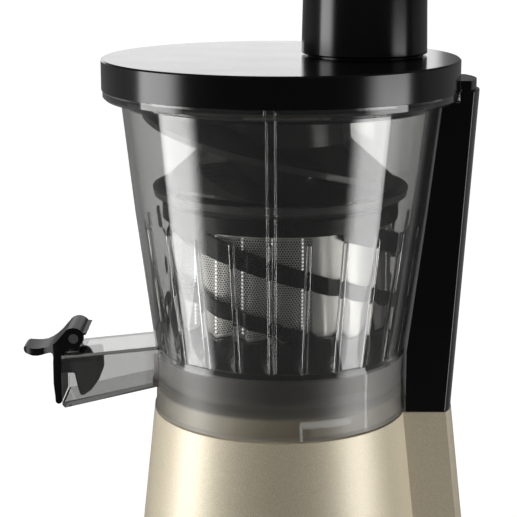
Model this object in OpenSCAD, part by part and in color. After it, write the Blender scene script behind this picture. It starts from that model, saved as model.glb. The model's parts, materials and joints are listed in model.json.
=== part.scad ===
// Cold press juicer: a slow vertical juicer with a clear bowl, a rotating wiper cage and a geared motor base.
// Origin: on the screw's axis, on the table.
// +X is the column's side, -X the juice spout's and -Y the knob's.

/* [Base] */
// Height of the base's shoulder above the table, where the bowl's skirt begins
base_h = 195; // [180:1:215]
// Radius of the base at its shoulder
base_top_r = 56.7; // [54:0.1:60]
// How much the base's radius grows for each millimetre down
base_flare = 0.1075; // [0.05:0.0025:0.14]
// Wall of the base's shell
shell_t = 2.6; // [2:0.1:3.5]
// Width of the tower and of the column on it
tower_w = 27; // [22:1:32]
// Height of the boss that the bowl locks on
boss_h = 10; // [8:1:12]

/* [Bowl] */
// Height from the shoulder to the underside of the bowl's rim
bowl_h = 139.1; // [125:0.1:150]
// Outer radius of the bowl's wall just under its rim
bowl_top_r = 69.6; // [67:0.1:72]
// Wall of the bowl above its ledge
bowl_t = 2.4; // [2:0.1:3]
// Ribs round the inside of the bowl's lower wall
rib_count = 24; // [12:1:28]

/* [Lid] */
// Outer radius of the lid
lid_r = 78; // [75:0.5:82]
// Height of the lid's side
lid_h = 13.2; // [11:0.1:16]
// Distance from the screw's axis to the chute's axis, towards the column
chute_x = 36.8; // [34:0.2:38]
// The same distance, towards the back
chute_y = 11.4; // [8:0.2:13]
// Outer radius of the chute at the lid
chute_r = 27.7; // [24:0.1:29]
// Height of the chute above the lid
chute_h = 76; // [60:1:95]

/* [Screw and strainer] */
// Gap between the bowl's wall and the turning cage
bowl_gap = 0.7; // [0.5:0.1:3]
// Gap between the cage and the strainer's sheet
cage_gap = 0.9; // [0.6:0.1:2]
// Gap between the screw's flights and the strainer's ribs
screw_gap = 2.3; // [0.8:0.1:4]
// Arms of the wiper cage
arm_count = 4; // [3:1:6]

/* [Knob] */
// Height of the knob's axis above the table
knob_z = 70; // [55:1:90]
// Radius of the knob
knob_r = 17; // [14:0.5:20]

/* [Hidden] */
$fn = 96;
eps = 0.01;
plastic_black = [0.06, 0.06, 0.065];
champagne = [0.83, 0.78, 0.67];
smoke = [0.45, 0.45, 0.45, 0.5];
silicone = [0.2, 0.2, 0.2];
steel = [0.75, 0.75, 0.76];
copper = [0.72, 0.43, 0.2];
board_green = [0.1, 0.35, 0.2];

// Heights
boss_z = base_h + boss_h;              // top of the boss and underside of the bowl's floor
floor_t = 3;
floor_z = boss_z + floor_t;            // top of the bowl's floor
rim_z = base_h + bowl_h;               // underside of the bowl's rim
rim_t = 4.1;
lid_z = rim_z + rim_t;                 // underside of the lid's edge
lid_top = lid_z + lid_h;
chute_top = lid_top + chute_h;
skirt_top = base_h + 29;               // groove between the clear wall and the skirt
bend_z = base_h + 88.5;                // height at which the wall bends outwards a little less
gap = 1;                               // shadow gap between the skirt and the base
flange_r = lid_r - 0.5;                // edge of the bowl's flange, just inside the lid's

// Bowl wall: a cone from the groove to the rim, bent once
wall_low_r = base_top_r - 0.3;
wall_mid_r = bowl_top_r - 5.5;
function bowl_r(z) = z < bend_z
    ? wall_low_r + (wall_mid_r - wall_low_r) * (z - skirt_top) / (bend_z - skirt_top)
    : wall_mid_r + (bowl_top_r - wall_mid_r) * (z - bend_z) / (rim_z - bend_z);
thick_t = bowl_t + 1;                  // wall at the bowl's floor
bend_t = bowl_t + 0.5;                 // wall at the bend
function base_r(z) = base_top_r + base_flare * (base_h - z);

// Tower and column: a bulged outer face that leans in towards the lid
column_r = 27;                         // radius of the bulge seen from above
column_x0 = base_top_r + 21;           // outer face at the shoulder
column_lean = atan(0.0616);
tower_lean = atan(0.115);
column_clear = 1.1;                    // between the column and the bowl's wall
flange_clear = 0.5;                    // between the column and the bowl's flange
column_t = 2.4;

// Cage, strainer and screw, from the bowl's wall inwards
arm_t = 2.2;
mesh_t = 0.8;
strainer_rib_t = 1.6;
strainer_r = wall_low_r - thick_t - bowl_gap - arm_t - cage_gap;
cage_r = strainer_r + cage_gap;
screw_r = strainer_r - mesh_t - strainer_rib_t - screw_gap;
arm_angle = -150;
arm_drop = 0.283;                      // millimetres down for each degree round
mesh_low = base_h + 41.4;
mesh_high = base_h + 90;
cage_top = base_h + 94;
rim_top = base_h + 100.5;
rim_r = base_top_r - 0.2;              // outer radius of the strainer's rim
rim_w = 2;

// Gears at the bowl's floor: the screw's pinion, an idler and the cage's inner ring
pinion_teeth = 18;
idler_teeth = 21;
ring_teeth = 60;
ring_wall = 5.1;                       // from the ring gear's pitch circle to the cage's inside
cage_module = 2 * (cage_r - ring_wall) / ring_teeth;
idler_x = 0;
idler_y = -(pinion_teeth + idler_teeth) * cage_module / 2;
gear_z = floor_z + 2.2;
gear_h = 5.6;
idler_pin_r = 2.5;

// Gearbox: two planetary stages in one toothed cup
box_module = 1;
sun_teeth = 12;
planet_teeth = 18;
annulus_teeth = 48;
planet_count = 3;
planet_pin_r = 2.5;
stage_h = 10;
stage_z = [base_h - 49, base_h - 29];
orbit_r = (sun_teeth + planet_teeth) * box_module / 2;
box_r = 31;
box_floor_z = base_h - 57;
box_top_z = base_h - 9;
plate_t = 4;
shaft_r = 7;
hex_r = 5.6;
fit = 0.05;                            // radial running clearance
seat = 0.3;                            // gap under what rests or turns on a seat

// Motor
motor_r = 42;
stator_z = base_h - 117;
stator_h = 40;
rotor_r = 21.5;
motor_shaft_r = 4;
stud_r = motor_r - 4;
fan_z = base_h - 151;

// Base plate and foot
foot_h = 3;
foot_inset = 3.8;
foot_w = 10;
foot_out = base_r(foot_h) - foot_inset;
plate_z = foot_h;
base_plate_t = 3;
post_h = 30;
post_w = 5;                            // radius of a post
post_circle = base_r(foot_h + base_plate_t + post_h) - shell_t - 2.7;
corner_angles = [45:90:315];
deck_angles = [30, 150, 210, 330];     // screws that hang the gearbox under the deck
deck_circle = 40;
fastener_r = 1.6;
fastener_head_r = 3;
head_h = 1.8;

// Knob: its axis stands square to the base's leaning side
knob_tilt = atan(base_flare);
knob_gap = 0.8;

// Cord gland at the back
gland_z = 24;
gland_r = 7;
gland_bore_r = 3.7;

// Lead from the lid's sensor down inside the column to the control board
lead_r = 1.2;
lead_hole_r = 2.2;
lead_hole_x = column_x0 - 5.3;
board_x = 60;                          // control board, on edge behind the tower's wall
board_t = 1.6;
board_h = 60;
board_top = plate_z + base_plate_t + board_h;
sensor_z = rim_z - 5;                  // underside of the sensor board
lead_x = board_x + board_t + lead_r;   // where the lead lies on the control board
function in_column(inset, z) = [column_outer(z) - inset, z];
lead_route = [in_column(7.1, sensor_z - 0.2), in_column(7.1, rim_z - 18), in_column(6.9, rim_z - 44),
    in_column(6.6, rim_z - 74), in_column(6.1, base_h + 30),
    [lead_hole_x, base_h + 3], [lead_hole_x, base_h - 7],
    [lead_hole_x - 2.4, base_h - 25], [lead_x + 5.2, base_h - 55], [lead_x + 3.7, base_h - 95],
    [lead_x + 0.8, board_top + 8], [lead_x, board_top - 6]];

// Spout
spout_w = 26;
spout_t = 2;
spout_z = skirt_top;                   // top of the spout where it leaves the bowl
spout_drop = 4.6;                      // how far the top falls to its mouth
spout_end_x = -97.6;
cap_pin = [-92.1, 0, base_h + 31.9];
cap_pin_r = 2.2;
pin_clear = 0.06;

// Pulp spout
pulp_w = 24;
pulp_y0 = 27;
pulp_y1 = 96;

// ---- Helpers ----

// Straight-sided gear tooth outline; ring = true turns the teeth inwards
function gear_points(teeth, m, ring) = let (rp = teeth * m / 2, h = 90 / teeth, s = ring ? -1 : 1)
    [for (k = [0:teeth - 1]) each
        [for (p = [[-1.15, -1.25], [0, -0.85], [0.8, -0.3], [0.8, 0.3], [0, 0.85], [-1.15, 1.25]])
            let (r = rp + s * p[0] * m, a = 360 * k / teeth + p[1] * h) [r * cos(a), r * sin(a)]]];

module gear(teeth, m, height) {
    linear_extrude(height) polygon(gear_points(teeth, m, false));
}

module ring_gear(teeth, m, height, outer) {
    linear_extrude(height) difference() {
        circle(outer);
        rotate(180 / teeth) polygon(gear_points(teeth, m, true));
    }
}

module tube(outer, inner, height, z = 0) {
    translate([0, 0, z]) difference() {
        cylinder(height, r = outer);
        translate([0, 0, -1]) cylinder(height + 2, r = inner);
    }
}

module disc_turned(points) {
    rotate_extrude() polygon(points);
}

// Solid swept through a list of sections, each a loop of points of the same length
module sweep(sections) {
    n = len(sections[0]);
    last = len(sections) - 1;
    polyhedron(
        points = [for (s = sections) each s],
        faces = concat(
            [[for (i = [0:n - 1]) i]],
            [for (j = [0:last - 1]) for (i = [0:n - 1])
                let (a = j * n + i, b = j * n + (i + 1) % n) each [[a, a + n, b], [b, a + n, b + n]]],
            [[for (i = [n - 1:-1:0]) last * n + i]]));
}

// A section given as [radius, height] pairs, turned to angle a and lowered by drop
function at_angle(section, a, drop) = [for (p = section) [p[0] * cos(a), p[0] * sin(a), p[1] - drop]];

// ---- Lid ----

lid_t = 3;
hopper_r = chute_r - 2.9;
collar_t = 1;                          // wall of the chute's collar in the lid
plug_r = bowl_top_r - bowl_t - 0.6;
bush_r = 9;
boss_low = lid_z - 6;

module lug(z, height, grow = 0) {
    intersection() {
        translate([0, -tower_w / 2 - grow, z]) cube([lid_r + 20, tower_w + 2 * grow, height]);
        translate([column_outer(z) - 1.4 - column_r, 0, z]) cylinder(height, r = column_r + grow);
    }
}

function column_outer(z) = column_x0 + (z - base_h) * tan(column_lean);

module lid_cover() color(plastic_black) difference() {
    union() {
        disc_turned([[0, lid_top - lid_t], [lid_r - lid_t, lid_top - lid_t], [lid_r - lid_t, lid_z],
            [lid_r, lid_z], [lid_r, lid_top - 0.7], [lid_r - 0.7, lid_top], [0, lid_top]]);
        lug(lid_z + 0.4, 3.9);
        tube(plug_r, plug_r - 2, lid_top - lid_t - rim_z + 3 + eps, rim_z - 3);
        translate([0, 0, boss_low]) cylinder(lid_top - boss_low - 1, r = bush_r + 2.5);
    }
    translate([chute_x, chute_y, lid_z - 10]) cylinder(40, r = hopper_r + collar_t + fit);
    translate([0, 0, boss_low - 1]) cylinder(12, r = bush_r);
    tube(plug_r + 1, plug_r - 0.9, 2.4, rim_z - 1.2);
    translate([lid_r + 2, 0, lid_z]) cylinder(2.4, r = 3.15);
}

// The chute is a separate sleeve with a shadow gap at its foot
module feed_chute() color(plastic_black) translate([chute_x, chute_y, 0]) disc_turned([
    [hopper_r, lid_top - lid_t - 2], [hopper_r + collar_t, lid_top - lid_t - 2],
    [hopper_r + collar_t, lid_top + 0.8],
    [chute_r, lid_top + 0.8], [chute_r - 0.9, lid_top + chute_h * 0.6], [chute_r - 0.9, chute_top - 1],
    [chute_r - 1.9, chute_top], [hopper_r + 0.4, chute_top], [hopper_r, chute_top - 0.8]]);

module lid_seal() color(silicone) tube(plug_r + 0.45, plug_r - 0.9, 2.4, rim_z - 1.2);

module screw_bush() color(steel) tube(bush_r, pin_r + fit, 10, boss_low + 1);

module lug_magnet() color(steel) translate([lid_r + 2, 0, lid_z + 0.4]) cylinder(2, r = 3.1);

pusher_r = hopper_r - 1.2;
module food_pusher() color(plastic_black) translate([chute_x, chute_y, 0]) difference() {
    disc_turned([[0, lid_top + 4], [pusher_r - 2, lid_top + 4], [pusher_r, lid_top + 6],
        [pusher_r, chute_top + 0.3], [chute_r - 1.2, chute_top + 0.3], [chute_r - 0.6, chute_top + 2.3],
        [chute_r - 0.6, chute_top + 12], [chute_r - 2.6, chute_top + 14], [0, chute_top + 14]]);
    translate([0, 0, lid_top + 7]) cylinder(chute_h - 6, r = pusher_r - 2.4);
    tube(pusher_r + 1, pusher_r - 1, 3, lid_top + 12);
}

module pusher_seal() color(silicone) translate([chute_x, chute_y, 0])
    tube(pusher_r + 0.6, pusher_r - 1, 3, lid_top + 12);

// ---- Bowl ----

chimney_r = 12.5;
seal_out = 10.5;

module bowl_solid() disc_turned([[0, boss_z], [base_top_r - 5, boss_z], [base_top_r - 3.6, boss_z - 2],
    [base_top_r - 3, base_h + 1.5], [base_top_r - 2.4, base_h], [base_top_r, base_h],
    [base_top_r - 0.7, base_h + 1.5],
    [base_top_r - 1.2, base_h + 18], [base_top_r - 0.7, base_h + 25.5], [base_top_r - 1.6, skirt_top - 0.6],
    [wall_low_r, skirt_top + 0.6], [wall_mid_r, bend_z], [bowl_top_r, rim_z - 1.4],
    [bowl_top_r + 1.6, rim_z], [flange_r - 1.1, rim_z], [flange_r, rim_z + 1.1], [flange_r, lid_z],
    [0, lid_z]]);

module bowl_inside() disc_turned([[0, floor_z], [wall_low_r - thick_t - 2, floor_z],
    [wall_low_r - thick_t, floor_z + 2],
    [wall_low_r - thick_t, skirt_top], [wall_mid_r - bend_t, bend_z], [bowl_top_r - bowl_t, rim_z],
    [bowl_top_r - bowl_t, lid_z + 1], [0, lid_z + 1]]);

// Ribs on the inside of the lower wall, up to just under the bend, with round tops
rib_r = 1.3;
rib_in = 0.2;                          // how deep a rib's middle line lies in the wall
rib_start = -4;
rib_lean = atan((wall_mid_r - wall_low_r) / (bend_z - skirt_top));
rib_l = bend_z - skirt_top - 3;
module inner_ribs() for (k = [0:rib_count - 1]) rotate(rib_start + 360 * k / rib_count)
    translate([wall_low_r - thick_t + rib_in, 0, skirt_top]) rotate([0, rib_lean, 0]) {
        cylinder(rib_l, r = rib_r, $fn = 24);
        translate([0, 0, rib_l]) sphere(rib_r, $fn = 24);
    }

// Two raised seam lines that follow the front of the clear wall up to its flange and across the flange's edge
seam_r = 0.5;
seam_angles = [-94.6, -91.7];
module wall_line(r0, z0, r1, z1) translate([r0, 0, z0]) rotate([0, atan((r1 - r0) / (z1 - z0)), 0])
    cylinder(norm([r1 - r0, z1 - z0]), r = seam_r, $fn = 16);
module seam_ribs() for (a = seam_angles) rotate(a) {
    wall_line(wall_low_r - 0.2, skirt_top + 1, wall_mid_r - 0.2, bend_z);
    wall_line(wall_mid_r - 0.2, bend_z, bowl_top_r - 0.2, rim_z - 1);
    translate([flange_r - 0.2, 0, rim_z + 0.8]) cylinder(rim_t - 1, r = seam_r, $fn = 16);
}

// Level ticks on the outside of the wall, right of the seam lines
tick_z = base_h + 108;
tick_t = 0.35;
module level_ticks() for (k = [0, 1]) rotate(seam_angles[1] + 3.2)
    rotate_extrude(angle = 13 - 6 * k) translate([bowl_r(tick_z - 5 * k), tick_z - 5 * k])
        polygon([[-0.6, 0], [tick_t, 0.1], [tick_t, 0.9], [-0.6, 1]]);

// Side outline of the spout, as x and z, shrunk by t for the channel inside
spout_root_x = -55;
spout_low = base_h + 10.2;             // its underside where it leaves the bowl
spout_fall = 10;                       // how far the underside falls to the mouth
function spout_outline(t) = [[-44, floor_z - 4 + t + 4 * sign(t)], [spout_root_x, spout_low + t],
    [spout_end_x + 1.2 - t, spout_low - spout_fall + t], [spout_end_x - t, spout_low - spout_fall + 1.2 + t],
    [spout_end_x - t, spout_z - spout_drop - t], [spout_root_x, spout_z - t], [-44, spout_z - t]];

module spout_block(t, w) translate([0, w / 2, 0]) rotate([90, 0, 0]) linear_extrude(w)
    polygon(spout_outline(t));

// Two small ears on the spout's roof carry the cap's pin between the cap's cheeks
ear_w = 3;
ear_out = 8.5;                         // outer face of an ear, from the middle
ear_r = 3.6;
roof_z = spout_z - spout_drop - 1;
module cap_ears() for (s = [0, 1]) mirror([0, s, 0])
    translate([cap_pin[0], ear_out, cap_pin[2]]) rotate([90, 0, 0]) linear_extrude(ear_w) difference() {
        union() {
            circle(ear_r);
            polygon([[-ear_r, -0.5], [-3.2, roof_z - cap_pin[2]], [1.2, roof_z - cap_pin[2]], [1.9, -2.5]]);
        }
        circle(cap_pin_r);
    }

// Rear duct for the pulp: it leaves through the floor behind the screw and slopes down past the skirt
function pulp_outline(t) = [[pulp_y0 + 4 + t, boss_z + 1 + 3 * sign(t)], [pulp_y0 + 4 + t, base_h + 0.4 + t],
    [59, base_h + 0.4 + t], [pulp_y1 + sign(t), base_h - 8.6 + t], [pulp_y1 + sign(t), base_h + 9 - t],
    [60, base_h + 15 - t],
    [46 - t, base_h + 15 - t - 4 * sign(t)], [46 - t, boss_z + 1 + 3 * sign(t)]];
module pulp_block(t, w) translate([-w / 2, 0, 0]) rotate([90, 0, 90]) linear_extrude(w)
    polygon(pulp_outline(t));
pulp_plug_y = 66;
drain_w = 14;                          // clean-out hole under the duct, shut by a plug
drain_l = 12;

module juice_bowl() color(smoke) difference() {
    union() {
        difference() {
            bowl_solid();
            bowl_inside();
        }
        intersection() {
            inner_ribs();
            translate([0, 0, floor_z]) cylinder(bend_z - floor_z, r = wall_mid_r - 1);
        }
        seam_ribs();
        level_ticks();
        difference() {
            spout_block(0, spout_w);
            cylinder(400, r = wall_low_r - thick_t + 1);
        }
        difference() {
            pulp_block(0, pulp_w + 4);
            translate([0, 0, floor_z]) cylinder(30, r = wall_low_r - thick_t);
        }
        cap_ears();
        translate([0, 0, boss_z]) cylinder(floor_t + 1, r = chimney_r);
        tube(cage_r + arm_t - 1.6, ring_teeth * cage_module / 2 + 2.2, gear_z - seat - floor_z + 1,
            floor_z - 1);
        translate([idler_x, idler_y, floor_z - 1]) cylinder(gear_z - seat - floor_z + 1, r = 4.5);
    }
    spout_block(spout_t, spout_w - 2 * spout_t);
    pulp_block(1.8, pulp_w);
    translate([0, 0, boss_z - 1]) cylinder(9, r = seal_out);
    translate([idler_x, idler_y, floor_z - 1.6]) cylinder(5, r = idler_pin_r);
    translate([-drain_w / 2, pulp_plug_y - drain_l / 2, base_h - 14]) cube([drain_w, drain_l, 12.5]);
}

module bowl_floor_seal() color(silicone) tube(seal_out, shaft_r + fit, floor_t + 1, boss_z);

module pulp_duct_plug() color(silicone) difference() {
    translate([-drain_w / 2, pulp_plug_y - drain_l / 2, base_h - 10]) cube([drain_w, drain_l, 8.4]);
    pulp_block(1.8, pulp_w);
}

module idler_pin() color(steel) translate([idler_x, idler_y, floor_z - 1.6])
    cylinder(gear_z + gear_h - floor_z + 1.6, r = idler_pin_r);

module spout_hinge_pin() color(steel) translate([cap_pin[0], cap_w / 2, cap_pin[2]]) rotate([90, 0, 0])
    cylinder(cap_w, r = cap_pin_r);

// ---- Spout cap ----

// A lever in one moulding: a concave paddle, two cheeks on the pin, a hood over the ears and the plate that
// shuts the mouth. Its outline is given from the pin.
cap_gap = 0.3;
cap_w = 22.6;
plug_w = spout_w - 2 * spout_t - 1.6;
hood_r = 5;
hood_in = ear_r + cap_gap;
hood_end = 2;
plate_in = spout_end_x - cap_gap - cap_pin[0];
plate_t_cap = 3.7;
plate_low = -30.4;
function arc_points(r, from, to, steps) =
    [for (i = [0:steps]) let (a = from + (to - from) * i / steps) [r * cos(a), r * sin(a)]];
cap_outline = concat(
    arc_points(hood_r, 34, 150, 12),
    [[-5.7, 1], [-7.6, -1.3], [-9.6, -3.1], [-11.8, -4.4], [-14.2, -5.2], [-16.6, -5.6], [-19, -5.6],
        [-21, -5.3]],
    [for (p = arc_points(1.6, 75, 245, 7)) p + [-22, -6.6]],
    [[-21, -8.4], [-19, -8.9], [-16.6, -8.9], [-14.4, -8.4], [-12.4, -7.5], [-10.6, -6.8], [-9.6, -7.2],
        [-9.3, -8.6]],
    [[plate_in - plate_t_cap, -11.5], [plate_in - plate_t_cap, -21], [plate_in - plate_t_cap + 0.6, -26.5]],
    [for (p = arc_points(1.5, 190, 350, 6)) p + [plate_in - 1.5, plate_low + 1.5]],
    [[plate_in, -6.7], [-4.6, -6.1], [-1.6, -4.6], [1, -4.4], [3, -3.3], [4.2, -1.5], [4.5, 0.2], [4.3, 1.6],
        [5.6, 1.9], [6, 2.6]]);

module cap_block(w) translate([cap_pin[0], w / 2, cap_pin[2]]) rotate([90, 0, 0])
    linear_extrude(w) children();

// Seen from above, the paddle narrows from the cheeks to a round end
paddle_w = 16;
paddle_corner = 6;
paddle_x = -18;                        // middle of its corner rounds
cheek_x = -9;
module cap_plan() {
    translate([cheek_x, -cap_w / 2]) square([40, cap_w]);
    polygon([[cheek_x, -cap_w / 2], [cheek_x, cap_w / 2], [paddle_x + 4, paddle_w / 2],
        [paddle_x, paddle_w / 2], [paddle_x, -paddle_w / 2], [paddle_x + 4, -paddle_w / 2]]);
    translate([paddle_x - paddle_corner, paddle_corner - paddle_w / 2])
        square([paddle_corner + 1, paddle_w - 2 * paddle_corner]);
    for (s = [-1, 1]) translate([paddle_x, s * (paddle_w / 2 - paddle_corner)]) circle(paddle_corner);
}

module spout_cap() color(plastic_black) difference() {
    intersection() {
        cap_block(cap_w) polygon(cap_outline);
        translate([cap_pin[0], 0, cap_pin[2] - 40]) linear_extrude(60) cap_plan();
    }
    cap_block(2 * (ear_out + cap_gap)) {
        circle(hood_in);
        polygon([[-hood_in, 0], [-hood_in, -8.4], [8, -8.4], [8, hood_end], [hood_in, hood_end]]);
    }
    cap_block(cap_w + 2) circle(cap_pin_r + pin_clear);
}

// The plug's neck and head, given from the pin like the cap; it swings out of the mouth under the roof
neck_outline = [[plate_in, -17.5], [-1, -17.5], [-1, -11.5], [plate_in, -11.2]];
head_outline = [[-2.4, -11.4], [10.2, -10], [11, -10.9], [11.2, -18.6], [7.6, -23.8], [4.2, -26.2],
    [2.6, -26.2], [1.6, -23.5], [0.2, -16.4], [-1.4, -13.4]];
neck_w = 10;
module spout_plug() color(silicone) {
    cap_block(neck_w) polygon(neck_outline);
    cap_block(plug_w) polygon(head_outline);
}

// ---- Strainer ----

strainer_low = gear_z + gear_h + 1;
strainer_floor_r = 17;
strainer_in = strainer_r - mesh_t - strainer_rib_t;
module strainer_frame() color(plastic_black) difference() {
    union() {
        disc_turned([[strainer_floor_r, strainer_low], [strainer_r - 1.2, strainer_low],
            [strainer_r, strainer_low + 1.2], [strainer_r, mesh_low], [strainer_in, mesh_low],
            [strainer_in - 0.6, strainer_low + 2.4],
            [strainer_floor_r, strainer_low + 2.4]]);
        disc_turned([[strainer_in, mesh_high - 3], [strainer_r, mesh_high - 3], [strainer_r, cage_top + 0.6],
            [rim_r - 0.7, rim_top - 3], [rim_r, rim_top], [rim_r - rim_w, rim_top], [strainer_in, cage_top]]);
        for (k = [0:5]) rotate(60 * k + 42) translate([strainer_in, -2, mesh_low - 2])
            cube([strainer_rib_t, 4, mesh_high - mesh_low]);
        translate([-pulp_w / 2 - 1.5, pulp_y0 + 3.5, floor_z + seat])
            cube([pulp_w + 3, 10.5, strainer_low - floor_z + 1]);
        for (s = [-1, 1]) translate([s * 39, 0, floor_z + seat]) cylinder(strainer_low - floor_z + 1, r = 3);
    }
    tube(strainer_r + 1, strainer_r - mesh_t - 0.15, mesh_high - mesh_low - 3, mesh_low);
    translate([-pulp_w / 2, pulp_y0 + 5, floor_z - 1]) cube([pulp_w, 7.5, 20]);
}

module strainer_mesh() color(steel) tube(strainer_r, strainer_r - mesh_t, mesh_high - mesh_low - 3, mesh_low);

// ---- Screw ----

pin_r = 5;
screw_low = strainer_low + 3.4;
hex_top = screw_low + 24;
screw_top = boss_low - 1;
socket_r = 9;
core_foot_r = 33;
core_neck_r = 20;
function core_r(z) = core_foot_r - (core_foot_r - core_neck_r) * (z - screw_low) / (mesh_high - screw_low);

// The screw's head: a cone over the strainer's mouth and a hub above it
head_r = rim_r - rim_w - 3.5;
head_low = rim_top + 1.5;
head_high = rim_top + 20.5;
hub_r = 31;

// A flight winds down clockwise seen from the front; its crest starts at height from and is crest_t thick
flight_steps = 42;
crest_t = 2.4;
module flight(start, from, turn, pitch, reach_from, reach_to, root) sweep([for (i = [0:flight_steps])
    let (t = i / flight_steps, z = from - pitch * turn * t / 360,
        r = reach_from + (reach_to - reach_from) * t,
        foot = core_r(min(z, mesh_high)) - 1.5)
    at_angle([[foot, z - root], [foot, z + root * 0.6], [r, z], [r, z - crest_t]], start + turn * t, 0)]);

// The wing under the chute: one broad ridge that falls round the front of the head and catches what drops in
wing_pitch = 78.5;
wing_top = screw_top - 1.6;
wing_start = -165;
wing_turn = 135;
wing_reach = 61;
wing_steps = 24;
function wing_z(a) = wing_top - wing_pitch * a / 360;
module wing() sweep([for (i = [0:wing_steps])
    let (t = i / wing_steps, a = wing_turn * t, z = wing_z(a), r = wing_reach - 12 * t)
    at_angle([[hub_r - 3, z - 9], [hub_r - 3, z + 1.2], [r, z], [r, z - 2.6]], wing_start + a, 0)]);

// Two channels through the head, front and back, lead down to the flights in the strainer
channel_start = -150;
channel_turn = 120;
channel_in = 24;
channel_half = 8;
channel_drop = 14.3;                   // of the channel's middle below the wing's crest at its start
module feed_channel() sweep([for (i = [0:wing_steps])
    let (a = channel_turn * i / wing_steps, z = wing_z(a) - channel_drop,
        low = z - channel_half, high = z + channel_half)
    at_angle([[channel_in, low], [channel_in, high], [lid_r, high], [lid_r, low]], channel_start + a, 0)]);

module auger_screw() color(plastic_black) difference() {
    union() {
        disc_turned([[0, screw_low], [core_foot_r, screw_low], [core_neck_r, mesh_high],
            [head_r - 1, head_low - 1], [head_r, head_low], [head_r, head_low + 1.2],
            [hub_r, head_high], [hub_r - 0.5, screw_top - 4], [hub_r - 4, screw_top], [0, screw_top]]);
        wing();
        for (k = [0:1]) flight(180 * k - 40, mesh_high + 5, 230, 68, screw_r, screw_r, 5);
        for (k = [0:3]) flight(90 * k + 20, mesh_high - 10, 190, 68, screw_r, screw_r, 4);
    }
    for (k = [0:1]) rotate(180 * k) feed_channel();
    translate([0, 0, screw_low - 1]) cylinder(30, r = socket_r);
    translate([0, 0, screw_top - 12]) cylinder(20, r = pin_r);
}

module auger_top_pin() color(steel) translate([0, 0, screw_top - 12]) cylinder(21, r = pin_r);

module auger_drive_socket() color(steel) difference() {
    translate([0, 0, gear_z]) cylinder(screw_low + 29 - gear_z, r = socket_r);
    translate([0, 0, gear_z - 1]) cylinder(hex_top + 2.5 - gear_z, r = hex_r + 0.25, $fn = 6);
}

module auger_pinion() color(plastic_black) difference() {
    translate([0, 0, gear_z]) union() {
        gear(pinion_teeth, cage_module, gear_h);
        cylinder(screw_low - gear_z, r = 11.5);
    }
    translate([0, 0, gear_z - 1]) cylinder(30, r = socket_r);
}

// ---- Wiper cage ----

// A slanting arm falls to the right as seen from outside and narrows on its way down
arm_start_z = mesh_high - 1;
arm_turn = (arm_start_z - mesh_low + 4) / arm_drop;
function arm_half(t) = 4.7 - 2.1 * t;
arm_steps = 24;
module slanting_bar(a, r0, r1, half_scale) sweep([for (i = [0:arm_steps])
    let (t = i / arm_steps, h = arm_half(t) * half_scale)
    at_angle([[r0, arm_start_z + h], [r1, arm_start_z + h], [r1, arm_start_z - h], [r0, arm_start_z - h]],
        a + arm_turn * t, arm_drop * arm_turn * t)]);
module cage_arms(r0, r1, half_scale) for (k = [0:arm_count - 1])
    slanting_bar(360 * k / arm_count + arm_angle, r0, r1, half_scale);

module wiper_cage() color(plastic_black) {
    translate([0, 0, gear_z]) rotate(180 / ring_teeth)
        ring_gear(ring_teeth, cage_module, gear_h, cage_r + arm_t - 1.8);
    disc_turned([[cage_r, gear_z + gear_h - 1], [cage_r + arm_t - 1.4, gear_z + gear_h - 1],
        [cage_r + arm_t - 1.4, skirt_top - 1], [cage_r + arm_t, skirt_top + 7], [cage_r + arm_t, mesh_low],
        [cage_r, mesh_low]]);
    tube(cage_r + arm_t, cage_r, cage_top - mesh_high + 2.6, mesh_high - 2.6);
    cage_arms(cage_r + 0.2, cage_r + arm_t - 0.2, 1);
}

module wiper_blades() color(silicone) cage_arms(cage_r - 0.45, cage_r + 0.2, 0.3);

module idler_gear() color(plastic_black) translate([idler_x, idler_y, gear_z]) rotate(90)
    difference() {
        gear(idler_teeth, cage_module, gear_h);
        translate([0, 0, -1]) cylinder(gear_h + 2, r = idler_pin_r + fit);
    }

// ---- Base ----

// Frame on the base's leaning side at height z and turned by a from the front: +Z points straight out
module on_side(z, a) rotate(a) translate([0, -base_r(z), z]) rotate([90 - knob_tilt, 0, 0]) children();
module knob_place() on_side(knob_z, 0) children();

module base_cone(shrink, z0, z1) translate([0, 0, z0])
    cylinder(z1 - z0, r1 = base_r(z0) - shrink, r2 = base_r(z1) - shrink);

shoulder_z = base_h - gap;
boss_r = base_top_r - 5.2;
pulp_notch_w = pulp_w + 8;
module body_shell() color(champagne) difference() {
    union() {
        difference() {
            union() {
                base_cone(0, foot_h, shoulder_z);
                tower_fill(0, foot_h, shoulder_z);
            }
            base_cone(shell_t, foot_h - 1, shoulder_z - 3);
            tower_fill(shell_t, foot_h - 1, shoulder_z - 3);
        }
        translate([0, 0, shoulder_z - 3]) cylinder(boss_h + gap + 3, r = boss_r);
        for (a = corner_angles) rotate(a) translate([post_circle, 0, base_plate_t + foot_h])
            cylinder(post_h, r = post_w);
        for (a = deck_angles) rotate(a) translate([deck_circle, 0, box_top_z]) cylinder(12, r = 4.5);
        for (k = [0:2]) rotate(120 * k) lock_ramp();
        intersection() {
            knob_place() translate([0, 0, -12]) cylinder(12, r = 9);
            base_cone(1, foot_h, shoulder_z);
        }
    }
    translate([0, 0, box_top_z]) cylinder(boss_z - box_top_z - 3, r = 34);
    translate([0, 0, boss_z - 4]) cylinder(10, r = 13);
    translate([-pulp_notch_w / 2, pulp_y0 + 2, base_h - 1]) cube([pulp_notch_w, 60, 30]);
    for (a = corner_angles) rotate(a) translate([post_circle, 0, 0]) cylinder(26, r = fastener_r);
    for (a = deck_angles) rotate(a) translate([deck_circle, 0, box_top_z - 1]) cylinder(9, r = fastener_r);
    knob_place() translate([0, 0, -20]) cylinder(30, r = 3 + fit);
    on_side(gland_z, 180) translate([0, 0, -8]) cylinder(12, r = gland_r);
    translate([lead_hole_x, 0, shoulder_z - 5]) cylinder(8, r = lead_hole_r);
}

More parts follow.
